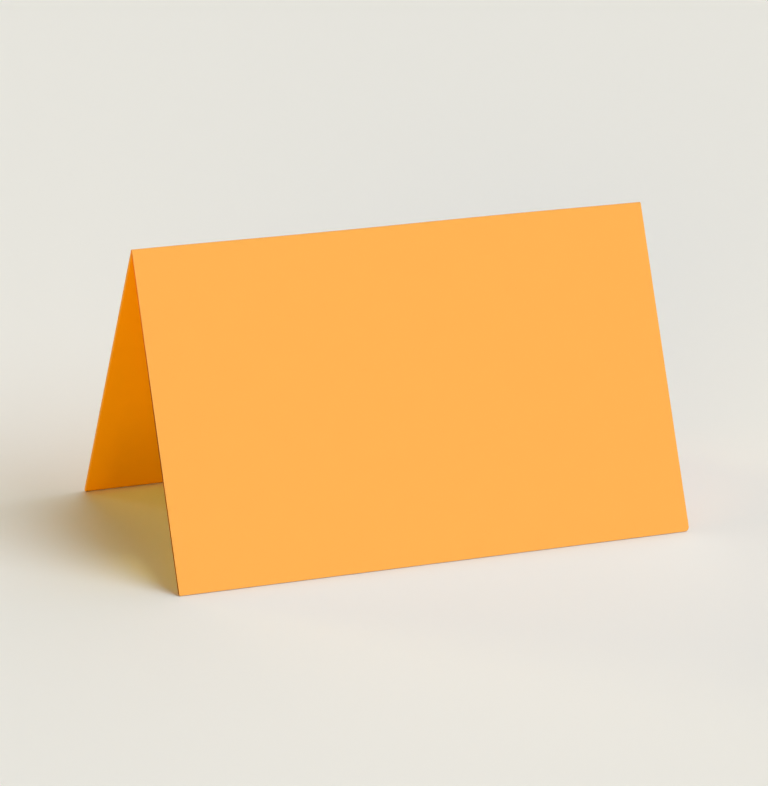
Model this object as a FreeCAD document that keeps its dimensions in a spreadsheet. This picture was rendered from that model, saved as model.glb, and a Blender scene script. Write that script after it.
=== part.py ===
"""Place card: one sheet of heavy card, creased across its middle and stood up as a tent.

Millimetres. +X runs along the fold, -Y is the front of the card and +Z is up. The origin is
the middle of the rectangle that the card stands on.

The section is drawn once, in the plane across the fold, as a sharp folded strip of even
thickness. It is then made as wide as the card, and the crease and the four free corners
are rounded. The card stands on the inner corners of its two cut edges, because each edge
is cut square to its leaf and the leaves lean.
"""
import FreeCAD, Part
import math
import os

import Sketcher

NODE = "folded_card"

# What can be set by itself: name in the sheet, size in millimetres or degrees, what it is.
DIMENSIONS = (
    ("card_width", 90.0, "along the fold, from one side edge to the other"),
    ("leaf_length", 56.2, "outer face of one leaf, from its cut edge to where the outer faces would meet"),
    ("card_thickness", 0.6, "thickness of the card"),
    ("opening_angle", 52.0, "degrees between the two leaves"),
    ("crease_outer_radius", 0.3, "rounding along the outside of the crease"),
    ("crease_inner_radius", 0.25, "rounding of the bead that creasing pushes up inside the fold"),
    ("cut_corner_radius", 0.2, "rounding of a free corner as it was cut"),
    ("blunt_corner_radius", 0.65, "rounding of the front right corner, which is blunted"),
)

# The strip's outline, in the order in which its six lines are drawn.
FRONT_OUTER, FRONT_CUT, FRONT_INNER, BACK_INNER, BACK_CUT, BACK_OUTER = range(6)
LINE_COUNT = 6

# How far the card's lowest point may be from the ground.
TOLERANCE = 1e-6

# How Sketcher numbers the ends of a line, and its own two axes.
START, END = 1, 2
X_AXIS, Y_AXIS = -1, -2


def make_sheet(doc):
    """Put the driving dimensions into a spreadsheet, one row each, under their names."""
    sheet = doc.addObject("Spreadsheet::Sheet", "dimensions")
    for row, (alias, value, meaning) in enumerate(DIMENSIONS, start=1):
        sheet.set(f"A{row}", alias)
        sheet.set(f"B{row}", str(value))
        sheet.setAlias(f"B{row}", alias)
        sheet.set(f"C{row}", meaning)
    doc.recompute()
    return sheet


def plane_of(body, role):
    """Return one of a body's own origin planes."""
    return next(item for item in body.Origin.OriginFeatures if item.Role == role)


def bind_constraint(sketch, name, constraint, expression):
    """Add a dimension to a sketch, name it and tie it to the sheet."""
    index = sketch.addConstraint(constraint)
    sketch.renameConstraint(index, name)
    sketch.setExpression(f"Constraints.{name}", expression)


def outline(sheet):
    """Return the strip's six corners, so that the sketch starts at the shape it keeps.

    Each leaf leans by half the opening, so its outer end stands off the ground by the
    thickness times the sine of the lean.
    """
    lean = math.radians(sheet.opening_angle / 2)
    down = FreeCAD.Vector(math.sin(lean), -math.cos(lean), 0) * sheet.leaf_length
    inwards = FreeCAD.Vector(-math.cos(lean), -math.sin(lean), 0) * sheet.card_thickness
    outer_apex = FreeCAD.Vector(0, -down.y - inwards.y, 0)
    inner_apex = outer_apex - FreeCAD.Vector(0, sheet.card_thickness / math.sin(lean), 0)
    back_outer_end = outer_apex + down
    back_inner_end = back_outer_end + inwards
    front_outer_end = FreeCAD.Vector(-back_outer_end.x, back_outer_end.y, 0)
    front_inner_end = FreeCAD.Vector(-back_inner_end.x, back_inner_end.y, 0)
    return (
        outer_apex, front_outer_end, front_inner_end,
        inner_apex, back_inner_end, back_outer_end,
    )


def draw_section(body, sheet):
    """Draw the folded strip in the plane across the fold, with sharp corners.

    The sketch's first axis is the card's Y and its second is Z. Both apexes lie on the
    Z axis, both inner ends lie on the ground line, and the two leaves mirror each other.
    """
    sketch = body.newObject("Sketcher::SketchObject", "section")
    sketch.AttachmentSupport = (plane_of(body, "YZ_Plane"), [""])
    sketch.MapMode = "FlatFace"

    corners = outline(sheet)
    for line in range(LINE_COUNT):
        ends = corners[line], corners[(line + 1) % LINE_COUNT]
        sketch.addGeometry(Part.LineSegment(*ends), False)
    for line in range(LINE_COUNT):
        following = (line + 1) % LINE_COUNT
        sketch.addConstraint(Sketcher.Constraint("Coincident", line, END, following, START))

    sketch.addConstraint(Sketcher.Constraint("PointOnObject", FRONT_OUTER, START, Y_AXIS))
    sketch.addConstraint(Sketcher.Constraint("PointOnObject", FRONT_INNER, END, Y_AXIS))
    sketch.addConstraint(Sketcher.Constraint("PointOnObject", FRONT_INNER, START, X_AXIS))
    sketch.addConstraint(Sketcher.Constraint("PointOnObject", BACK_CUT, START, X_AXIS))
    sketch.addConstraint(
        Sketcher.Constraint("Symmetric", FRONT_OUTER, END, BACK_OUTER, START, Y_AXIS)
    )
    sketch.addConstraint(Sketcher.Constraint("Parallel", FRONT_INNER, FRONT_OUTER))
    sketch.addConstraint(Sketcher.Constraint("Perpendicular", FRONT_CUT, FRONT_OUTER))
    sketch.addConstraint(Sketcher.Constraint("Perpendicular", BACK_CUT, BACK_OUTER))

    bind_constraint(
        sketch, "leaf",
        Sketcher.Constraint("Distance", FRONT_OUTER, sheet.leaf_length),
        "dimensions.leaf_length",
    )
    bind_constraint(
        sketch, "thickness",
        Sketcher.Constraint("Distance", FRONT_CUT, sheet.card_thickness),
        "dimensions.card_thickness",
    )
    opening = FreeCAD.Units.Quantity(sheet.opening_angle, FreeCAD.Units.Angle)
    bind_constraint(
        sketch, "opening",
        Sketcher.Constraint("Angle", FRONT_OUTER, START, BACK_OUTER, END, opening),
        "dimensions.opening_angle * 1 deg",
    )
    body.Document.recompute()
    return sketch


def point_in_space(sketch, line, end):
    """Return where one end of a sketched line lies in the card's own frame."""
    geometry = sketch.Geometry[line]
    flat = geometry.StartPoint if end == START else geometry.EndPoint
    return sketch.Placement.multVec(flat)


def middle_in_space(sketch, line):
    """Return where the middle of a sketched line lies in the card's own frame."""
    return (point_in_space(sketch, line, START) + point_in_space(sketch, line, END)) / 2


def widen(body, section):
    """Make the strip as wide as the card, equally to each side of its section."""
    pad = body.newObject("PartDesign::Pad", "sheet_of_card")
    pad.Profile = section
    pad.SideType = "Symmetric"
    pad.setExpression("Length", "dimensions.card_width")
    body.Document.recompute()
    return pad


def edge_at(shape, point):
    """Return the name of the edge whose middle lies nearest to a point."""
    gaps = [(edge.CenterOfMass - point).Length for edge in shape.Edges]
    return f"Edge{gaps.index(min(gaps)) + 1}"


def round_edges(body, base, name, points, radius_alias):
    """Round the edges of a feature that lie at the given points, to a radius in the sheet."""
    fillet = body.newObject("PartDesign::Fillet", name)
    fillet.Base = (base, [edge_at(base.Shape, point) for point in points])
    fillet.setExpression("Radius", f"dimensions.{radius_alias}")
    body.Document.recompute()
    return fillet


def make_card(doc, sheet):
    """Build the whole card as one body: section, width, crease and corners."""
    body = doc.addObject("PartDesign::Body", NODE)
    body.Label = NODE
    body.Placement = FreeCAD.Placement()
    section = draw_section(body, sheet)
    pad = widen(body, section)

    outer_apex = point_in_space(section, FRONT_OUTER, START)
    inner_apex = point_in_space(section, FRONT_INNER, END)
    crease = round_edges(body, pad, "crease_outside", [outer_apex], "crease_outer_radius")
    bead = round_edges(body, crease, "crease_inside", [inner_apex], "crease_inner_radius")

    to_right = FreeCAD.Vector(sheet.card_width / 2, 0, 0)
    front_cut = middle_in_space(section, FRONT_CUT)
    back_cut = middle_in_space(section, BACK_CUT)
    square = [front_cut - to_right, back_cut - to_right, back_cut + to_right]
    corners = round_edges(body, bead, "cut_corners", square, "cut_corner_radius")
    round_edges(body, corners, "blunt_corner", [front_cut + to_right], "blunt_corner_radius")
    return body


def check(doc, body):
    """Stop with the reason if any feature failed or the card isn't one sound solid."""
    for item in doc.Objects:
        failed = {"Invalid", "Error"} & set(item.State)
        if failed:
            raise RuntimeError(f"{item.Name} is {', '.join(sorted(failed))}")
    if not doc.getObject("section").FullyConstrained:
        raise RuntimeError("the section can still move")
    shape = body.Shape
    if shape.isNull() or not shape.isValid():
        raise RuntimeError(f"{body.Label} has no valid shape")
    if len(shape.Solids) != 1:
        raise RuntimeError(f"{body.Label} has {len(shape.Solids)} solids, not one")
    if abs(shape.BoundBox.ZMin) > TOLERANCE:
        raise RuntimeError(f"{body.Label} doesn't stand on the ground")


def main():
    """Build the card, check it and write it as a STEP file."""
    doc = FreeCAD.newDocument("place_card")
    sheet = make_sheet(doc)
    card = make_card(doc, sheet)
    doc.recompute()
    check(doc, card)
    os.makedirs("parts", exist_ok=True)
    card.Shape.exportStep(f"parts/{card.Label}.step")
    box = card.Shape.BoundBox
    print(f"{card.Label}: {box.XLength:.3f} x {box.YLength:.3f} x {box.ZLength:.3f} mm")
    print(f"lowest {box.ZMin:.4f} mm, volume {card.Shape.Volume:.2f} mm3")


main()
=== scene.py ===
"""Place card: a sheet of heavy orange card, creased across its middle and standing as a tent.

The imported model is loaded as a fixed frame. One visual piece, a folded sheet with softened cut
edges and a slightly uneven crease, stands for the CAD node. The file is laid out as an add-on
and runs as a script.
"""

import math

import bpy
import numpy as np
from bpy.props import FloatProperty, FloatVectorProperty, PointerProperty
from mathutils import Matrix, Vector


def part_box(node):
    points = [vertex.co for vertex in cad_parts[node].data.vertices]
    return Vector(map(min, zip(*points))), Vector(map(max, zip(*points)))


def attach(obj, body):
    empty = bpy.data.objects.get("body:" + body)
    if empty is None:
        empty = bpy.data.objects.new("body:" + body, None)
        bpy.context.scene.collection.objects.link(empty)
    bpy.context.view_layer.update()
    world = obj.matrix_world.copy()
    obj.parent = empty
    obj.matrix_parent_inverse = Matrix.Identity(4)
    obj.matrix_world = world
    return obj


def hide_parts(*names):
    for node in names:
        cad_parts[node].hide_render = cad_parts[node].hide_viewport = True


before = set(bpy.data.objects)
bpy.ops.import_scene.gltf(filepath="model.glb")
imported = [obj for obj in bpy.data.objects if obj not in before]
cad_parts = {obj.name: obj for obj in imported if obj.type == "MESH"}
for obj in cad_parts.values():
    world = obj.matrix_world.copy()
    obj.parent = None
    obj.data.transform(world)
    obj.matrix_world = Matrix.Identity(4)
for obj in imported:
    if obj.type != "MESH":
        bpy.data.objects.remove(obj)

bl_info = {
    "name": "Place Card",
    "version": (1, 0, 0),
    "blender": (4, 5, 0),
    "location": "3D View > Sidebar > Place Card",
    "description": "A folded place card that stands as a tent on a pale table",
    "category": "Add Mesh",
}

CARD_NODE = "folded_card"
CARD_LOW, CARD_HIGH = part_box(CARD_NODE)
MM = 0.001

# The sheet's grid, in metres from a cut edge and from the fold, and the ring round the cut edge.
NEAR_EDGE = np.array([0, 0.03, 0.07, 0.12, 0.18, 0.26, 0.36, 0.48, 0.62, 0.85, 1.2, 1.8]) * MM
NEAR_FOLD = np.concatenate([np.arange(1, 13) * 0.1, [1.4, 1.6, 1.8, 2.1, 2.6, 3.4]]) * MM
GRID_STEP = 1.3 * MM
ARRIS_TURNS = (30.0, 60.0, 90.0)
CUT_ROWS = 6
BLUNT_CORNER = (1, -1)  # right end, front leaf
FLAT_MAP = "flat_sheet"

# The bow of a leaf swings along the fold: the wave's length in half widths of the card, and how far
# each leaf's wave is shifted, as a share of a whole one.
BOW_WAVE = 1.7
BOW_SHIFT = 0.2

# The paper: which ways its fibres lie, how wide their lines are and how much they cover.
FIBRE_TURNS = (8.0, 67.0, 128.0)
FIBRE_LINE = 0.035
FELT_COVER = 0.3
CARD_GLOSS = 0.2
INSIDE_GLOSS = 0.02
CUT_GLOSS = 0.05
TABLE_GLOSS = 0.2
TABLE_ROUGHNESS = 0.8

# How far the tooth and the plies swing the roughness, what wear adds to it, how strong wear is
# between the fibres, and how much a fibre adds to that.
TOOTH_ROUGHNESS = 0.12
PLY_ROUGHNESS = 0.1
WEAR_ROUGHNESS = 0.1
WEAR_LEAST = 0.6
WEAR_BY_FIBRE = 0.5

# Where painted shade darkens the colour towards the table: heights as shares of the leaf's
# length, and the way in from an open end over which the inside's painted shade comes in.
INSIDE_SHADE_FROM = 0.37
CUT_SHADE_FROM = 0.85
CUT_SHADE_FULL_AT = 0.38
SHADE_FADE_AT_OPEN_END = 6 * MM

# The cut edge: how many times more uneven its dye is than a face's, and the size of its plies.
CUT_MOTTLE = 5
PLY_LENGTH = 1.2 * MM
PLY_HEIGHT = 0.07 * MM

# Tints of the light, in red, green and blue.
COOL = (0.75, 0.85, 1.0)
WARM = (1.0, 0.95, 0.9)
AMBER = (1.0, 0.85, 0.45)
SAND = (1.0, 0.9, 0.4)
TEAL = (0.0, 0.6, 1.0)
OLIVE = (0.2, 1.0, 0.1)

# Lamps: name, azimuth, elevation and spread in degrees, strength and tint.
LAMPS = (
    ("Key", 40.0, 40.0, 45.0, 0.66, COOL),
    ("Back Right Fill", 120.0, 50.0, 80.0, 0.48, WARM),
    ("Front Left Fill", 330.0, 5.0, 30.0, 0.55, AMBER),
    ("Back Left Fill", 225.0, 5.0, 20.0, 0.55, AMBER),
)
ROOM_STRENGTH = 0.07

# Panels that light only the table. The teal and olive ones take the orange out of the glow that
# the card throws, and the sand one brightens the table at the left end.
# On a leaf: name, leaf (-1 front, 1 back), the side of it (1 outside, -1 inside), where the
# panel starts as a share of the leaf from the fold, the share of the card's width that it
# covers from the left end, strength and tint.
LEAF_WASHES = (
    ("Front Wash", -1, 1, 0.05, 1.0, 0.25, TEAL),
    ("Front Foot Wash", -1, 1, 0.8, 1.0, 0.6, TEAL),
    ("Inner Back Wash", 1, -1, 0.05, 0.7, 0.13, OLIVE),
    ("Inner Front Wash", -1, -1, 0.05, 0.7, 0.17, OLIVE),
)
LEAF_WASH_END = 0.95
# In an open end: name, end (-1 left, 1 right), middle and width along Y, strength and tint.
MOUTH_WASHES = (
    ("Left Mouth Wash", -1, -12 * MM, 12 * MM, 0.45, SAND),
    ("Right Mouth Wash", 1, 0.0, 24 * MM, 0.15, TEAL),
)
MOUTH_LOW, MOUTH_HIGH = 2 * MM, 22 * MM
# How far a panel stands off the card, and off the panel under it.
WASH_GAP = 0.2 * MM

# How far the camera stands to the right of, and above, the line that runs through the card's
# middle.
AIM_SIDE = -0.695 * MM
AIM_RISE = -3.850 * MM


# ---------------------------------------------------------------------------------------------
# What a user would change
# ---------------------------------------------------------------------------------------------


def length(name, description, default):
    """A size in metres."""
    return FloatProperty(
        name=name, description=description, default=default, min=0.0, unit="LENGTH", precision=5
    )


def colour(name, description, default):
    """A linear colour."""
    return FloatVectorProperty(
        name=name, description=description, default=default, size=3, min=0.0, max=1.0, subtype="COLOR"
    )


def share(name, description, default, top=1.0):
    """A plain number with no unit."""
    return FloatProperty(name=name, description=description, default=default, min=0.0, max=top)


def angle(name, description, degrees):
    """An angle, given in degrees and kept in radians."""
    return FloatProperty(
        name=name, description=description, default=math.radians(degrees), subtype="ANGLE"
    )


class CardSize(bpy.types.PropertyGroup):
    """Sizes of the folded sheet."""

    width: length("Width", "Length of the fold", CARD_HIGH.x - CARD_LOW.x)
    spread: length("Spread", "Distance between the outer ends of the leaves", CARD_HIGH.y - CARD_LOW.y)
    opening: angle("Opening", "Angle between the two leaves", 52.0)
    thickness: length("Thickness", "Thickness of the card", 0.6 * MM)
    crease_radius: length("Crease Radius", "Sharpest outside radius of the crease", 0.3 * MM)
    crease_ease: length("Crease Ease", "How much blunter the crease is at its bluntest", 0.075 * MM)
    crease_wave: length("Crease Wave", "Distance from one sharp place of the crease to the next", 60 * MM)
    crease_blunt_at: FloatProperty(
        name="Crease Blunt At",
        description="Where along the fold the crease is bluntest",
        default=-10.8 * MM,
        unit="LENGTH",
        precision=5,
    )
    bead_radius: length("Bead Radius", "Radius of the bead inside the crease", 0.25 * MM)
    corner_radius: length("Corner Radius", "Radius of a cut corner", 0.2 * MM)
    blunt_radius: length("Blunt Corner Radius", "Radius of the blunted corner", 0.65 * MM)
    arris_radius: length("Arris Radius", "Softness of the cut edges", 0.045 * MM)
    leaf_bow: length("Leaf Bow", "How far a leaf leaves the flat", 0.03 * MM)
    front_drop: length("Front Drop", "How far the front foot's outer corner is pressed down", 0.17 * MM)
    back_drop: length("Back Drop", "How far the back foot's outer corner is pressed down", 0.25 * MM)
    back_lift: length("Back Lift", "How far the back foot's inner corner is pressed up", 0.12 * MM)
    foot_length: length("Foot Length", "Height over which a foot is pressed", 0.6 * MM)


class CardFinish(bpy.types.PropertyGroup):
    """Colours and surface of the card stock, some of them with shade painted in."""

    face: colour("Face", "Outside of the card", (0.92, 0.411, 0.078))
    # Painted shade: the inside is the card's own orange made deeper and redder than the face, standing in
    # for the shade and orange glow inside the tent.
    inside: colour("Inside", "Inside of the card", (0.985, 0.37, 0.001))
    # Painted shade: the front leaf's cut edge is the card's orange made deeper and redder than the back
    # leaf's, for the shade that it lies in.
    front_cut_shaded: colour("Shaded Front Cut Edge", "Cut edge of the front leaf", (0.84, 0.17, 0.001))
    back_cut: colour("Back Cut Edge", "Cut edge of the back leaf", (0.85, 0.36, 0.04))
    worn: colour("Worn Fibre", "Broken fibre along the crease and the cut edges", (1.0, 0.80, 0.50))
    roughness: share("Roughness", "Roughness of the faces", 0.75)
    cut_roughness: share("Cut Roughness", "Roughness of the cut edge", 0.9)
    # Painted shade: the inside darkens towards the table.
    inside_foot_shade: share("Inside Foot Shade", "How much deeper the inside is at its foot", 0.17)
    # Painted shade: the front cut edge darkens towards the table.
    cut_foot_shade: share("Cut Foot Shade", "How much deeper the cut edge is at the front foot", 0.65)
    # A thin painted contact shadow along the inside where it stands on the table.
    rim_shade_depth: share("Rim Shade Depth", "How much deeper the inside is where it stands", 0.5)
    rim_shade_height: length("Rim Shade Height", "Height of the deeper rim where the inside stands", 0.5 * MM)
    mottle: share("Mottle", "Unevenness of the dye", 0.016)
    wear: share("Wear", "How pale the crease and the cut edges are", 0.05)
    tooth: length("Tooth", "Height of the paper's grain", 0.003 * MM)
    cut_tooth: length("Cut Tooth", "Height of the fibre ends on the cut edge", 0.012 * MM)


class StageLook(bpy.types.PropertyGroup):
    """Table, light and camera."""

    table: colour("Table", "Colour of the table", (0.924, 0.901, 0.833))
    beyond: colour("Beyond", "What is seen past the table's end", (0.80, 0.77, 0.70))
    table_half: length("Table Half", "Half the table's side", 6.0)
    room_scale: share("Room Scale", "Turns the room's even light up or down", 1.0, top=4.0)
    lamp_scale: share("Lamp Scale", "Turns the lamps, but not the panels, up or down together", 1.0, top=4.0)
    azimuth: angle("Azimuth", "Where the camera stands round the card", -22.368)
    elevation: angle("Elevation", "How high the camera stands", 19.562)
    roll: angle("Roll", "How far the camera leans", 1.513)
    distance: length("Distance", "From the camera to the card's middle", 664.65 * MM)
    lens: FloatProperty(name="Lens", description="Focal length", default=183.13, unit="CAMERA")


# ---------------------------------------------------------------------------------------------
# The folded sheet
# ---------------------------------------------------------------------------------------------


class Sheet:
    """The sizes that the sheet's formulas share, worked out once from the properties."""

    def __init__(self, size):
        self.half_angle = size.opening / 2
        self.sin, self.cos = math.sin(self.half_angle), math.cos(self.half_angle)
        self.half_width = size.width / 2
        self.thickness = size.thickness
        self.leaf = size.spread / 2 / self.sin
        self.apex = self.leaf * self.cos + self.thickness * self.sin
        self.inner_apex = self.apex - self.thickness / self.sin
        self.crease_radius = size.crease_radius
        self.crease_ease = size.crease_ease
        self.crease_wave = size.crease_wave
        self.crease_blunt_at = size.crease_blunt_at
        self.bead_radius = size.bead_radius
        self.arris = size.arris_radius
        self.bow = size.leaf_bow
        self.front_drop = size.front_drop
        self.back_drop = size.back_drop
        self.back_lift = size.back_lift
        self.foot_length = size.foot_length


def tent(along, reach, apex, radius, sheet):
    """A point (y, z) of one skin, for a signed distance along the sheet.

    Away from the crease the skin is two straight lines that leave the apex at the half angle to
    the vertical. Nearer than reach it is an arc of the given radius that touches both lines,
    and the distance along the sheet turns the arc's radius evenly from one line to the other.
    """
    distance = np.abs(along)
    side = np.sign(along)
    start = reach - radius / math.tan(sheet.half_angle)
    straight_y = side * (distance - start) * sheet.sin
    straight_z = apex - (distance - start) * sheet.cos
    turn = np.clip(along / reach, -1, 1) * (math.pi / 2 - sheet.half_angle)
    middle = apex - radius / sheet.sin
    round_y = radius * np.sin(turn)
    round_z = middle + radius * np.cos(turn)
    bent = distance < reach
    return np.where(bent, round_y, straight_y), np.where(bent, round_z, straight_z)


def folded(across, along, depth, sheet):
    """Points in space of the sheet's flat places, as an array of rows (x, y, z).

    across runs along the fold, along is the signed distance from the fold, and depth goes from 0
    on the outside to the thickness on the inside. The outer skin is a tent whose crease radius
    swings as a cosine along the fold. The inner skin is a smaller tent with a bead. A point
    between them is on the straight line that joins the two, at depth over thickness. Each leaf
    then bows inwards by the square of a half sine along its length, times half of one more than
    a slow cosine across it. At each foot the outside goes down, and at the back one the inside
    goes up, by the square of the share of the foot's length, so the card stands on the front
    foot's inner corner and the back foot's outer one.
    """
    swing = np.cos(2 * math.pi * (across - sheet.crease_blunt_at) / sheet.crease_wave)
    crease = sheet.crease_radius + sheet.crease_ease * (1 + swing) / 2
    cot = 1 / math.tan(sheet.half_angle)
    outer_y, outer_z = tent(along, crease * cot, sheet.apex, crease, sheet)
    inner_reach = (sheet.thickness + sheet.bead_radius) * cot
    inner_y, inner_z = tent(along, inner_reach, sheet.inner_apex, sheet.bead_radius, sheet)
    part = depth / sheet.thickness
    length_part = np.clip(np.abs(along) / sheet.leaf, 0, 1)
    turns = across / (BOW_WAVE * sheet.half_width) + BOW_SHIFT * np.sign(along)
    slow = 0.5 + 0.5 * np.cos(2 * math.pi * turns)
    bow = sheet.bow * np.sin(math.pi * length_part) ** 2 * slow
    y = outer_y + part * (inner_y - outer_y) - np.sign(along) * bow * sheet.cos
    foot = np.clip(1 - (sheet.leaf - np.abs(along)) / sheet.foot_length, 0, 1) ** 2
    drop = np.where(along < 0, sheet.front_drop, sheet.back_drop)
    lift = np.where(along < 0, 0.0, sheet.back_lift)
    press = foot * (drop * (1 - part) - lift * part)
    z = outer_z + part * (inner_z - outer_z) - bow * sheet.sin - press
    return np.stack([across, y, z], axis=-1)


def lines(half, near_edge, step, near_middle=()):
    """Places of the grid's lines from -half to half: close together towards both ends and, where
    near_middle is given, on both sides of the middle, and a step apart between them."""
    edge = half - np.asarray(near_edge)
    middle = np.asarray(near_middle)
    inner = middle[-1] if len(middle) else 0.0
    count = max(2, int(round((edge[-1] - inner) / step)))
    run = np.linspace(inner, edge[-1], count + 1)[1:-1]
    positive = np.concatenate([middle, run, edge[::-1]])
    return np.concatenate([-positive[::-1], [0.0], positive])


def round_corner(across, along, corner_x, corner_d, radius):
    """Moves the grid in one corner's square into a quarter disc, and gives the way out of it.

    With a and b the shares of the square's side that a point has gone towards the two edges, the
    new shares are a * sqrt(1 - b * b / 2) and b * sqrt(1 - a * a / 2), so the square's two outer
    sides become the arc and its two inner sides stay.
    """
    side_x, side_d = math.copysign(1, corner_x), math.copysign(1, corner_d)
    a = 1 - (abs(corner_x) - side_x * across) / radius
    b = 1 - (abs(corner_d) - side_d * along) / radius
    inside = (a > 0) & (b > 0)
    a, b = np.clip(a, 0, 1), np.clip(b, 0, 1)
    new_a, new_b = a * np.sqrt(1 - b * b / 2), b * np.sqrt(1 - a * a / 2)
    new_across = corner_x - side_x * radius * (1 - new_a)
    new_along = corner_d - side_d * radius * (1 - new_b)
    across = np.where(inside, new_across, across)
    along = np.where(inside, new_along, along)
    return across, along, inside, side_x * new_a, side_d * new_b


def cells(grid, turned=False):
    """The four corners of each cell of a grid of numbers or places, turned over if wanted."""
    around = [grid[:-1, :-1], grid[1:, :-1], grid[1:, 1:], grid[:-1, 1:]]
    corners = np.stack(around[::-1] if turned else around, axis=2)
    return corners.reshape(-1, 4, *grid.shape[2:])


def sheet_surface(size):
    """Corners, quads, flat places and part numbers of the closed surface of the folded sheet.

    The outside is a grid over the flat sheet, the inside is the same grid one thickness deeper,
    and the cut edge is a ring of quads between their borders. The ring's profile is a quarter
    circle of the arris radius, a straight cut, and a second quarter circle. The two quarter
    circles belong to the skins that roll over them, and the cut is part 2 on the front leaf and
    part 3 on the back one. The flat shape is a rectangle with rounded corners, inset by the arris
    radius for the two grids. A flat place is across and along the sheet in metres, with the inside
    laid beside the outside, and on the ring it is the way round the edge and the depth.
    """
    sheet = Sheet(size)
    inset_x, inset_d = sheet.half_width - sheet.arris, sheet.leaf - sheet.arris
    x_lines = lines(inset_x, NEAR_EDGE, GRID_STEP)
    d_lines = lines(inset_d, NEAR_EDGE, GRID_STEP, NEAR_FOLD)
    across, along = np.meshgrid(x_lines, d_lines, indexing="ij")
    out_x = np.zeros_like(across)
    out_d = np.zeros_like(along)
    out_d[:, 0], out_d[:, -1] = -1, 1
    out_x[0, :], out_x[-1, :] = -1, 1
    for corner_x, corner_d in ((-1, -1), (-1, 1), (1, -1), (1, 1)):
        blunt = (corner_x, corner_d) == BLUNT_CORNER
        radius = (size.blunt_radius if blunt else size.corner_radius) - sheet.arris
        across, along, inside, way_x, way_d = round_corner(
            across, along, corner_x * inset_x, corner_d * inset_d, radius
        )
        out_x, out_d = np.where(inside, way_x, out_x), np.where(inside, way_d, out_d)

    at = np.arange(across.size).reshape(across.shape)
    border = np.concatenate([at[:-1, 0], at[-1, :-1], at[:0:-1, -1], at[0, :0:-1]])
    edge_x, edge_d = across.ravel()[border], along.ravel()[border]
    edge_out_x, edge_out_d = out_x.ravel()[border], out_d.ravel()[border]

    turn = np.radians(ARRIS_TURNS)
    round_out = np.sin(turn) * sheet.arris
    round_depth = (1 - np.cos(turn)) * sheet.arris
    cut = np.linspace(sheet.arris, sheet.thickness - sheet.arris, CUT_ROWS)[1:-1]
    ring_out = np.concatenate([round_out, np.full(len(cut), sheet.arris), round_out[::-1]])
    ring_depth = np.concatenate([round_depth, cut, sheet.thickness - round_depth[::-1]])
    ring_x = edge_x + ring_out[:, None] * edge_out_x
    ring_d = edge_d + ring_out[:, None] * edge_out_d
    ring_n = np.broadcast_to(ring_depth[:, None], ring_x.shape)

    outside = folded(across, along, 0.0, sheet).reshape(-1, 3)
    inside_skin = folded(across, along, sheet.thickness, sheet).reshape(-1, 3)
    ring = folded(ring_x, ring_d, ring_n, sheet).reshape(-1, 3)

    ring_at = np.arange(ring_x.size).reshape(ring_x.shape) + 2 * at.size
    loops = np.concatenate([border[None, :], ring_at, border[None, :] + at.size])
    loops = np.concatenate([loops, loops[:, :1]], axis=1)
    steps = np.hypot(np.roll(edge_x, -1) - edge_x, np.roll(edge_d, -1) - edge_d)
    way_round = np.concatenate([[0.0], np.cumsum(steps)])
    depths = np.concatenate([[0.0], ring_depth, [sheet.thickness]])
    ring_flat = np.stack(np.broadcast_arrays(way_round[None, :], depths[:, None]), axis=-1)
    flat = np.stack([across, along], axis=-1)
    beside = flat + np.array([2 * size.width, 0.0])

    quads = [cells(at), cells(at + at.size, turned=True), cells(loops)]
    places = [cells(flat), cells(beside, turned=True), cells(ring_flat)]
    rolled = len(turn)
    cut_part = np.where(edge_d + np.roll(edge_d, -1) < 0, 2, 3)
    ring_parts = np.tile(cut_part, (len(loops) - 1, 1))
    ring_parts[:rolled], ring_parts[-rolled:] = 0, 1
    parts = np.concatenate([np.repeat([0, 1], len(quads[0])), ring_parts.ravel()])
    corners = np.concatenate([outside, inside_skin, ring])
    return corners, np.concatenate(quads), np.concatenate(places), parts


def make_mesh(name, corners, quads, places=None):
    """A smooth mesh of quads from whole arrays, with flat places as its UV map if given."""
    mesh = bpy.data.meshes.new(name)
    mesh.vertices.add(len(corners))
    mesh.vertices.foreach_set("co", corners.astype(np.float32).ravel())
    mesh.loops.add(quads.size)
    mesh.loops.foreach_set("vertex_index", quads.astype(np.int32).ravel())
    mesh.polygons.add(len(quads))
    mesh.polygons.foreach_set("loop_start", np.arange(0, quads.size, 4, dtype=np.int32))
    mesh.update(calc_edges=True)
    if places is not None:
        uv = mesh.uv_layers.new(name=FLAT_MAP).uv
        uv.foreach_set("vector", places.astype(np.float32).ravel())
    if mesh.validate():
        raise RuntimeError(f"the mesh {name} had faults")
    mesh.shade_smooth()
    return mesh


def enclosed(corners, quads):
    """The volume inside a closed surface of quads, positive where the faces point outwards: a
    sixth of the sum, over its triangles, of each one's three corners' triple product."""
    triangles = np.concatenate([quads[:, [0, 1, 2]], quads[:, [0, 2, 3]]])
    a, b, c = (corners[triangles[:, k]] for k in range(3))
    return float(np.einsum("ij,ij->", a, np.cross(b, c)) / 6)


def link(obj):
    """Puts an object into the scene."""
    bpy.context.scene.collection.objects.link(obj)
    return obj


# ---------------------------------------------------------------------------------------------
# Node groups: effects that the card's materials share
# ---------------------------------------------------------------------------------------------


def fill_inputs(tree, made, inputs):
    """Links a node's inputs to other nodes' sockets, or sets them where plain values are given."""
    for key, value in inputs.items():
        if isinstance(value, bpy.types.NodeSocket):
            tree.links.new(value, made.inputs[key])
        else:
            made.inputs[key].default_value = value


def node(tree, kind, label, inputs=None, **settings):
    """Adds a node, sets it up, and fills its inputs from values or from other nodes' sockets."""
    made = tree.nodes.new("ShaderNode" + kind)
    made.label = label
    made.location = (220 * (len(tree.nodes) % 12), -260 * (len(tree.nodes) // 12))
    for key, value in settings.items():
        setattr(made, key, value)
    fill_inputs(tree, made, inputs or {})
    return made


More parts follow.
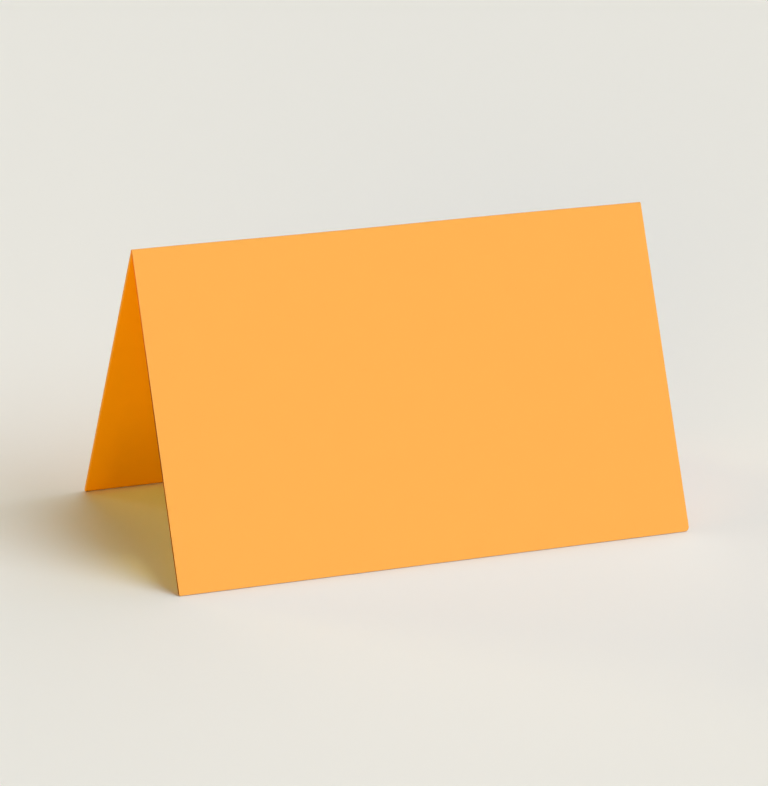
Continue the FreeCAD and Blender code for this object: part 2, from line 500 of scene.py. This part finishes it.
def maths(tree, operation, label, *inputs):
    """A Math node's result."""
    return node(tree, "Math", label, dict(enumerate(inputs)), operation=operation).outputs[0]


def step_up(tree, label, value, low, high, start, end):
    """A smooth step from start, where the value is low, to end, where it is high."""
    made = node(
        tree,
        "MapRange",
        label,
        {"Value": value, "From Min": low, "From Max": high, "To Min": start, "To Max": end},
        interpolation_type="SMOOTHSTEP",
    )
    return made.outputs["Result"]


def new_group(name, inputs, outputs):
    """An empty node group with named sockets: inputs are (name, kind, default) and outputs (name,
    kind). It returns the group, its inputs by name and its output node."""
    group = bpy.data.node_groups.new(name, "ShaderNodeTree")
    for socket, kind, default in inputs:
        made = group.interface.new_socket(socket, in_out="INPUT", socket_type="NodeSocket" + kind)
        if default is not None:
            made.default_value = default
    for socket, kind in outputs:
        group.interface.new_socket(socket, in_out="OUTPUT", socket_type="NodeSocket" + kind)
    given = group.nodes.new("NodeGroupInput").outputs
    return group, given, group.nodes.new("NodeGroupOutput")


def fibres(group, place, long_way, short_way, turn):
    """Fine random lines that run one way: noise drawn out along that way, of which only the
    places near its middle value are kept, so each closed patch of noise becomes a thin outline."""
    turned = node(
        group, "Mapping", "Lie of the fibres", {"Vector": place, "Rotation": (0, 0, math.radians(turn))}
    )
    stretch = node(group, "CombineXYZ", "Fibre size", {"X": long_way, "Y": short_way, "Z": 1.0})
    drawn = node(
        group,
        "VectorMath",
        "Draw out",
        {0: turned.outputs["Vector"], 1: stretch.outputs["Vector"]},
        operation="MULTIPLY",
    )
    noise = node(
        group,
        "TexNoise",
        "Fibre noise",
        {"Vector": drawn.outputs["Vector"], "Scale": 1.0, "Detail": 1.0, "Roughness": 0.4},
        noise_dimensions="2D",
    )
    off = maths(group, "SUBTRACT", "Off the middle", noise.outputs[0], 0.5)
    off = maths(group, "ABSOLUTE", "Off the middle", off)
    return step_up(group, "Keep the middle", off, 0.0, FIBRE_LINE, 1.0, 0.0)


def paper_grain():
    """Node group: the tooth, the clouds and the felted fibres of uncoated paper.

    Vector is a flat place in metres. Tooth and Fibre give their patterns by themselves from 0 to
    1, Colour is the dye made uneven by all three, and Height is tooth and fibre for a Bump node.
    """
    group, given, out = new_group(
        "Paper Grain",
        (
            ("Vector", "Vector", None),
            ("Colour", "Color", (0.8, 0.8, 0.8, 1.0)),
            ("Mottle", "Float", 0.01),
            ("Cloud Size", "Float", 0.004),
            ("Tooth Size", "Float", 0.0002),
            ("Fibre Length", "Float", 0.0015),
            ("Fibre Width", "Float", 0.00006),
            ("Fibre Share", "Float", 0.3),
        ),
        (
            ("Colour", "Color"),
            ("Tooth", "Float"),
            ("Fibre", "Float"),
            ("Height", "Float"),
        ),
    )
    place = given["Vector"]

    def noise(label, size, detail, roughness):
        return node(
            group,
            "TexNoise",
            label,
            {
                "Vector": place,
                "Scale": maths(group, "DIVIDE", label, 1.0, size),
                "Detail": detail,
                "Roughness": roughness,
            },
            noise_dimensions="2D",
        ).outputs[0]

    cloud = noise("Clouds", given["Cloud Size"], 3.0, 0.5)
    tooth = noise("Tooth", given["Tooth Size"], 3.0, 0.6)
    long_way = maths(group, "DIVIDE", "Fibres per metre", 1.0, given["Fibre Length"])
    short_way = maths(group, "DIVIDE", "Fibre lines per metre", 1.0, given["Fibre Width"])
    felt = 0.0
    for turn in FIBRE_TURNS:
        felt = maths(group, "MAXIMUM", "Felt", felt, fibres(group, place, long_way, short_way, turn))

    uneven = maths(group, "ADD", "Cloud and tooth", cloud, tooth)
    uneven = maths(group, "MULTIPLY_ADD", "And fibre", felt, given["Fibre Share"], uneven)
    uneven = maths(group, "SUBTRACT", "About zero", uneven, 1.0 + FELT_COVER / 3)
    value = maths(group, "MULTIPLY_ADD", "Dye", uneven, given["Mottle"], 1.0)
    dyed = node(
        group, "HueSaturation", "Dyed", {"Color": given["Colour"], "Value": value, "Fac": 1.0}
    )
    height = maths(group, "MULTIPLY_ADD", "Height", felt, given["Fibre Share"], tooth)
    links = group.links
    links.new(dyed.outputs["Color"], out.inputs["Colour"])
    links.new(tooth, out.inputs["Tooth"])
    links.new(felt, out.inputs["Fibre"])
    links.new(height, out.inputs["Height"])
    return group


def edge_wear():
    """Node group: where the card's surface is broken or rubbed, from 0 to 1.

    Vector is a flat place in metres, with the inside laid Beside metres away. The mask is full on
    the fold and on the cut edges and fades over Fold Width and Edge Width, and the Fibre pattern
    breaks it up.
    """
    group, given, out = new_group(
        "Edge Wear",
        (
            ("Vector", "Vector", None),
            ("Fibre", "Float", 0.5),
            ("Half Width", "Float", 0.045),
            ("Half Length", "Float", 0.056),
            ("Beside", "Float", 0.0),
            ("Fold Width", "Float", 0.0005),
            ("Edge Width", "Float", 0.0003),
        ),
        (("Wear", "Float"),),
    )
    place = node(group, "SeparateXYZ", "Place", {"Vector": given["Vector"]})
    across = maths(group, "SUBTRACT", "Across", place.outputs["X"], given["Beside"])
    across = maths(group, "ABSOLUTE", "From the middle", across)
    along = maths(group, "ABSOLUTE", "From the fold", place.outputs["Y"])
    from_side = maths(group, "SUBTRACT", "From the side", given["Half Width"], across)
    from_end = maths(group, "SUBTRACT", "From the end", given["Half Length"], along)
    from_edge = maths(group, "MINIMUM", "From the edge", from_side, from_end)
    on_fold = step_up(group, "Fold", along, 0.0, given["Fold Width"], 1.0, 0.0)
    on_edge = step_up(group, "Edge", from_edge, 0.0, given["Edge Width"], 1.0, 0.0)
    whole = maths(group, "MAXIMUM", "Fold or edge", on_fold, on_edge)
    broken = maths(group, "MULTIPLY_ADD", "Broken up", given["Fibre"], WEAR_BY_FIBRE, WEAR_LEAST)
    wear = maths(group, "MULTIPLY", "Wear", whole, broken)
    group.links.new(wear, out.inputs["Wear"])
    return group


def foot_shade():
    """Node group: painted shade, a colour that darkens towards the table.

    Vector is a place in space. Value falls in a smooth step from 1 at From to 1 less the depth at
    To, and again by the rim's depth within the rim's height of the table, a painted contact shadow.
    The depth comes in over End Fade from the open ends, so the painted shade is weaker there.
    """
    group, given, out = new_group(
        "Foot Shade",
        (
            ("Vector", "Vector", None),
            ("Colour", "Color", (0.8, 0.8, 0.8, 1.0)),
            ("Depth", "Float", 0.1),
            ("From", "Float", 0.025),
            ("To", "Float", 0.0),
            ("Half Width", "Float", 0.045),
            ("End Fade", "Float", 0.00001),
            ("Rim Shade Depth", "Float", 0.0),
            ("Rim Shade Height", "Float", 0.0003),
        ),
        (("Colour", "Color"),),
    )
    place = node(group, "SeparateXYZ", "Place", {"Vector": given["Vector"]})
    across = maths(group, "ABSOLUTE", "From the middle", place.outputs["X"])
    from_end = maths(group, "SUBTRACT", "From the end", given["Half Width"], across)
    within = step_up(group, "Come in", from_end, 0.0, given["End Fade"], 0.0, 1.0)
    depth = maths(group, "MULTIPLY", "Depth here", given["Depth"], within)
    value = 1.0
    for label, low, top, part in (
        ("Painted Shade", given["To"], given["From"], depth),
        ("Rim", 0.0, given["Rim Shade Height"], given["Rim Shade Depth"]),
    ):
        least = maths(group, "SUBTRACT", "Least", 1.0, part)
        fall = step_up(group, label, place.outputs["Z"], low, top, least, 1.0)
        value = maths(group, "MULTIPLY", label, value, fall)
    shaded = node(
        group,
        "HueSaturation",
        "Shaded",
        {"Color": given["Colour"], "Value": value, "Fac": 1.0},
    )
    group.links.new(shaded.outputs["Color"], out.inputs["Colour"])
    return group


# ---------------------------------------------------------------------------------------------
# Materials
# ---------------------------------------------------------------------------------------------


def shader_of(name):
    """A new material, its node tree and its Principled BSDF."""
    material = bpy.data.materials.new(name)
    material.use_nodes = True
    tree = material.node_tree
    return material, tree, tree.nodes["Principled BSDF"]


def card_material(name, base, gloss, depth, rim, size, finish, groups, beside):
    """The dyed face of the card: paper grain in colour, roughness and relief, and pale broken
    fibre on the crease and along the cut edges. Depth paints shade that darkens it towards the
    table, weaker near the open ends, and rim paints a thin contact shadow where it stands."""
    material, tree, shader = shader_of(name)
    place = node(tree, "UVMap", "Flat sheet", uv_map=FLAT_MAP).outputs["UV"]
    in_space = node(tree, "TexCoord", "In space").outputs["Object"]
    grain, wear, foot = groups
    leaf = Sheet(size).leaf
    # Painted shade: darker towards the table, weaker near the open ends, and a thin painted contact shadow
    # where the card stands.
    shaded = use_group(
        tree,
        foot,
        {
            "Vector": in_space,
            "Colour": (*base, 1.0),
            "Depth": depth,
            "From": INSIDE_SHADE_FROM * leaf,
            "Half Width": size.width / 2,
            "End Fade": SHADE_FADE_AT_OPEN_END,
            "Rim Shade Depth": rim,
            "Rim Shade Height": finish.rim_shade_height,
        },
    )
    paper = use_group(
        tree,
        grain,
        {
            "Vector": place,
            "Colour": shaded.outputs["Colour"],
            "Mottle": finish.mottle,
            "Cloud Size": 5 * MM,
            "Tooth Size": 0.22 * MM,
            "Fibre Length": 1.6 * MM,
            "Fibre Width": 0.09 * MM,
            "Fibre Share": 0.35,
        },
    )
    worn = use_group(
        tree,
        wear,
        {
            "Vector": place,
            "Fibre": paper.outputs["Fibre"],
            "Half Width": size.width / 2,
            "Half Length": leaf,
            "Beside": beside,
            "Fold Width": 0.45 * MM,
            "Edge Width": 0.3 * MM,
        },
    )
    share_worn = maths(tree, "MULTIPLY", "Share worn", worn.outputs["Wear"], finish.wear)
    mixed = node(
        tree,
        "Mix",
        "Worn fibre",
        {"Factor": share_worn, "A": paper.outputs["Colour"], "B": (*finish.worn, 1.0)},
        data_type="RGBA",
    )
    least = finish.roughness - TOOTH_ROUGHNESS / 2
    rough = maths(tree, "MULTIPLY_ADD", "Rough", paper.outputs["Tooth"], TOOTH_ROUGHNESS, least)
    rough = maths(tree, "MULTIPLY_ADD", "Rougher where worn", worn.outputs["Wear"], WEAR_ROUGHNESS, rough)
    bump = node(
        tree,
        "Bump",
        "Relief",
        {"Height": paper.outputs["Height"], "Strength": 1.0, "Distance": finish.tooth},
    )
    finish_shader(tree, shader, mixed.outputs["Result"], rough, bump, gloss)
    return material


def cut_material(name, base, depth, size, finish, groups):
    """The cut edge: fibre ends in thin layers that run round the edge, and, by depth, painted shade that
    darkens it towards the table.
    """
    material, tree, shader = shader_of(name)
    place = node(tree, "UVMap", "Flat sheet", uv_map=FLAT_MAP).outputs["UV"]
    in_space = node(tree, "TexCoord", "In space").outputs["Object"]
    grain, _, foot = groups
    leaf = Sheet(size).leaf
    # Painted shade towards the table. The half width given is twice the true one, so the painted shade
    # doesn't fade at the open ends.
    shaded = use_group(
        tree,
        foot,
        {
            "Vector": in_space,
            "Colour": (*base, 1.0),
            "Depth": depth,
            "From": CUT_SHADE_FROM * leaf,
            "To": CUT_SHADE_FULL_AT * leaf,
            "Half Width": size.width,
        },
    )
    paper = use_group(
        tree,
        grain,
        {
            "Vector": place,
            "Colour": shaded.outputs["Colour"],
            "Mottle": CUT_MOTTLE * finish.mottle,
            "Cloud Size": 1.5 * MM,
            "Tooth Size": 0.08 * MM,
            "Fibre Length": 0.6 * MM,
            "Fibre Width": 0.05 * MM,
            "Fibre Share": 0.6,
        },
    )
    layers = node(
        tree,
        "Mapping",
        "Layers",
        {"Vector": place, "Scale": (1 / PLY_LENGTH, 1 / PLY_HEIGHT, 1.0)},
    )
    plies = node(
        tree,
        "TexNoise",
        "Plies",
        {"Vector": layers.outputs["Vector"], "Scale": 1.0, "Detail": 2.0},
        noise_dimensions="2D",
    )
    height = maths(tree, "ADD", "Plies and fibre", plies.outputs[0], paper.outputs["Height"])
    bump = node(tree, "Bump", "Relief", {"Height": height, "Strength": 1.0, "Distance": finish.cut_tooth})
    least = finish.cut_roughness - PLY_ROUGHNESS / 2
    rough = maths(tree, "MULTIPLY_ADD", "Rough", plies.outputs[0], PLY_ROUGHNESS, least)
    finish_shader(tree, shader, paper.outputs["Colour"], rough, bump, CUT_GLOSS)
    return material


def use_group(tree, group, inputs):
    """The group as a node of the tree, with its inputs filled."""
    used = tree.nodes.new("ShaderNodeGroup")
    used.node_tree = group
    used.label = group.name
    fill_inputs(tree, used, inputs)
    return used


def finish_shader(tree, shader, base, rough, bump, gloss):
    """Joins colour, roughness and relief to the shader and gives it uncoated card's weak gloss."""
    tree.links.new(base, shader.inputs["Base Color"])
    tree.links.new(rough, shader.inputs["Roughness"])
    tree.links.new(bump.outputs["Normal"], shader.inputs["Normal"])
    shader.inputs["Specular IOR Level"].default_value = gloss


def table_material(look):
    """A matt, pale, even table."""
    material, _, shader = shader_of("Table")
    shader.inputs["Base Color"].default_value = (*look.table, 1.0)
    shader.inputs["Roughness"].default_value = TABLE_ROUGHNESS
    shader.inputs["Specular IOR Level"].default_value = TABLE_GLOSS
    return material


# ---------------------------------------------------------------------------------------------
# Table, light and camera
# ---------------------------------------------------------------------------------------------


def towards(azimuth, elevation):
    """The way to a point of the sky: azimuth 0 is in front of the card and 90 to its right."""
    return Vector(
        (
            math.sin(azimuth) * math.cos(elevation),
            -math.cos(azimuth) * math.cos(elevation),
            math.sin(elevation),
        )
    )


def make_table(look):
    """A large flat table under the card."""
    half = look.table_half
    corners = np.array([[-half, -half, 0], [half, -half, 0], [half, half, 0], [-half, half, 0]])
    table = link(bpy.data.objects.new("table", make_mesh("table", corners, np.array([[0, 1, 2, 3]]))))
    table.data.materials.append(table_material(look))
    return table


def make_room(look):
    """An even, weak light from all round, with the table's own tone where the table ends."""
    world = bpy.data.worlds.new("Room")
    world.use_nodes = True
    tree = world.node_tree
    fill = tree.nodes["Background"]
    fill.inputs["Color"].default_value = (1.0, 1.0, 1.0, 1.0)
    fill.inputs["Strength"].default_value = ROOM_STRENGTH * look.room_scale
    seen = node(tree, "Background", "Beyond the table", {"Color": (*look.beyond, 1.0), "Strength": 1.0})
    path = node(tree, "LightPath", "What looks")
    mixed = node(
        tree,
        "MixShader",
        "Light or view",
        {0: path.outputs["Is Camera Ray"], 1: fill.outputs[0], 2: seen.outputs[0]},
    )
    tree.links.new(mixed.outputs[0], tree.nodes["World Output"].inputs["Surface"])
    bpy.context.scene.world = world


def make_lamp(name, azimuth, elevation, spread, strength, tint, scale):
    """A far, soft, round lamp. Strength times tint is what a white card that faces it gives
    back in red, green and blue."""
    data = bpy.data.lights.new(name, "SUN")
    data.angle = math.radians(spread)
    data.energy = math.pi * strength * scale
    data.color = tint
    lamp = link(bpy.data.objects.new(name, data))
    way = towards(math.radians(azimuth), math.radians(elevation))
    lamp.rotation_mode = "QUATERNION"
    lamp.rotation_quaternion = way.to_track_quat("Z", "Y")
    lamp.location = way


def make_panel(name, place, out, wide, high, strength, tint, table):
    """A soft panel that stands at a place, faces out and lights only the table."""
    data = bpy.data.lights.new(name, "AREA")
    data.shape = "RECTANGLE"
    data.size, data.size_y = wide, high
    data.energy = math.pi * wide * high * strength
    data.color = tint
    lamp = link(bpy.data.objects.new(name, data))
    lamp.location = place
    lamp.rotation_mode = "QUATERNION"
    lamp.rotation_quaternion = out.to_track_quat("-Z", "Y")
    lamp.visible_camera = False
    lit = bpy.data.collections.new(name)
    lit.objects.link(table)
    lamp.light_linking.receiver_collection = lit


def make_washes(size, table):
    """Panels along the sides of the leaves and in the open ends.

    Panels on the same side of a leaf are stacked a gap apart, because lamps that lie in one
    plane hide each other.
    """
    sheet = Sheet(size)
    layers = {}
    for name, leaf, side, start, reach, strength, tint in LEAF_WASHES:
        out = side * Vector((0, leaf * sheet.cos, sheet.sin))
        apex = sheet.apex if side > 0 else sheet.inner_apex
        middle = (start + LEAF_WASH_END) / 2 * sheet.leaf
        high = (LEAF_WASH_END - start) * sheet.leaf
        wide = reach * size.width
        left = wide / 2 - sheet.half_width
        place = Vector((left, leaf * middle * sheet.sin, apex - middle * sheet.cos))
        layers[leaf, side] = layers.get((leaf, side), 0) + 1
        place += out * layers[leaf, side] * WASH_GAP
        make_panel(name, place, out, wide, high, strength, tint, table)
    for name, end, middle, wide, strength, tint in MOUTH_WASHES:
        out = Vector((end, 0, 0))
        place = Vector((end * sheet.half_width, middle, (MOUTH_LOW + MOUTH_HIGH) / 2))
        place += out * WASH_GAP
        make_panel(name, place, out, wide, MOUTH_HIGH - MOUTH_LOW, strength, tint, table)


def make_camera(look):
    """The camera, turned about the card's middle by azimuth and elevation, leaned by roll and then
    moved sideways and up by the aim."""
    back = towards(look.azimuth, look.elevation)
    right = Vector((math.cos(look.azimuth), math.sin(look.azimuth), 0.0))
    up = back.cross(right)
    lean_cos, lean_sin = math.cos(look.roll), math.sin(look.roll)
    right, up = lean_cos * right + lean_sin * up, lean_cos * up - lean_sin * right
    data = bpy.data.cameras.new("Camera")
    data.lens = look.lens
    data.sensor_width = 36.0
    data.clip_start, data.clip_end = 0.01, 20.0
    camera = link(bpy.data.objects.new("Camera", data))
    middle = (CARD_LOW + CARD_HIGH) / 2
    place = middle + back * look.distance + right * AIM_SIDE + up * AIM_RISE
    turn = Matrix((right, up, back)).transposed().to_4x4()
    camera.matrix_world = Matrix.Translation(place) @ turn
    bpy.context.scene.camera = camera


# ---------------------------------------------------------------------------------------------
# Operators and panel
# ---------------------------------------------------------------------------------------------


class PLACECARD_OT_sheet(bpy.types.Operator):
    """Make the folded sheet of card"""

    bl_idname = "place_card.sheet"
    bl_label = "Folded Sheet"
    bl_options = {"REGISTER", "UNDO"}

    def execute(self, context):
        size = context.scene.card_size
        finish = context.scene.card_finish
        corners, quads, places, parts = sheet_surface(size)
        if enclosed(corners, quads) <= 0:
            raise RuntimeError("the folded sheet's faces point inwards")
        mesh = make_mesh("folded_sheet", corners, quads, places)
        card = link(bpy.data.objects.new("folded_sheet", mesh))
        groups = paper_grain(), edge_wear(), foot_shade()
        beside = 2 * size.width
        for material in (
            card_material("Card Face", finish.face, CARD_GLOSS, 0.0, 0.0, size, finish, groups, 0.0),
            # The inside's deeper colour, its darkening towards the table and its rim are painted shade.
            card_material(
                "Card Inside",
                finish.inside,
                INSIDE_GLOSS,
                finish.inside_foot_shade,
                finish.rim_shade_depth,
                size,
                finish,
                groups,
                beside,
            ),
            # The front cut edge's deeper colour and its darkening towards the table are painted shade.
            cut_material("Shaded Front Cut Edge", finish.front_cut_shaded, finish.cut_foot_shade, size, finish, groups),
            cut_material("Back Cut Edge", finish.back_cut, 0.0, size, finish, groups),
        ):
            mesh.materials.append(material)
        mesh.polygons.foreach_set("material_index", parts.astype(np.int32))
        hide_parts(CARD_NODE)
        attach(card, "root")
        return {"FINISHED"}


class PLACECARD_OT_stage(bpy.types.Operator):
    """Make the table, the light and the camera"""

    bl_idname = "place_card.stage"
    bl_label = "Table, Light and Camera"
    bl_options = {"REGISTER", "UNDO"}

    def execute(self, context):
        look = context.scene.stage_look
        table = make_table(look)
        make_room(look)
        for name, azimuth, elevation, spread, strength, tint in LAMPS:
            make_lamp(name, azimuth, elevation, spread, strength, tint, look.lamp_scale)
        make_washes(context.scene.card_size, table)
        make_camera(look)
        context.scene.view_settings.view_transform = "Standard"
        return {"FINISHED"}


class PLACECARD_PT_panel(bpy.types.Panel):
    """The card's pieces, sizes and finish"""

    bl_idname = "PLACECARD_PT_panel"
    bl_label = "Place Card"
    bl_space_type = "VIEW_3D"
    bl_region_type = "UI"
    bl_category = "Place Card"

    def draw(self, context):
        for operator, groups in STEPS:
            box = self.layout.box()
            box.operator(operator)
            for group in groups:
                settings = getattr(context.scene, group)
                for key in settings.__annotations__:
                    box.prop(settings, key)


STEPS = (
    ("place_card.sheet", ("card_size", "card_finish")),
    ("place_card.stage", ("stage_look",)),
)
CLASSES = (
    CardSize,
    CardFinish,
    StageLook,
    PLACECARD_OT_sheet,
    PLACECARD_OT_stage,
    PLACECARD_PT_panel,
)


def register():
    for cls in CLASSES:
        bpy.utils.register_class(cls)
    bpy.types.Scene.card_size = PointerProperty(type=CardSize)
    bpy.types.Scene.card_finish = PointerProperty(type=CardFinish)
    bpy.types.Scene.stage_look = PointerProperty(type=StageLook)


def unregister():
    del bpy.types.Scene.stage_look
    del bpy.types.Scene.card_finish
    del bpy.types.Scene.card_size
    for cls in reversed(CLASSES):
        bpy.utils.unregister_class(cls)


def main():
    register()
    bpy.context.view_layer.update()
    bpy.ops.place_card.sheet()
    bpy.ops.place_card.stage()


if __name__ == "__main__":
    main()
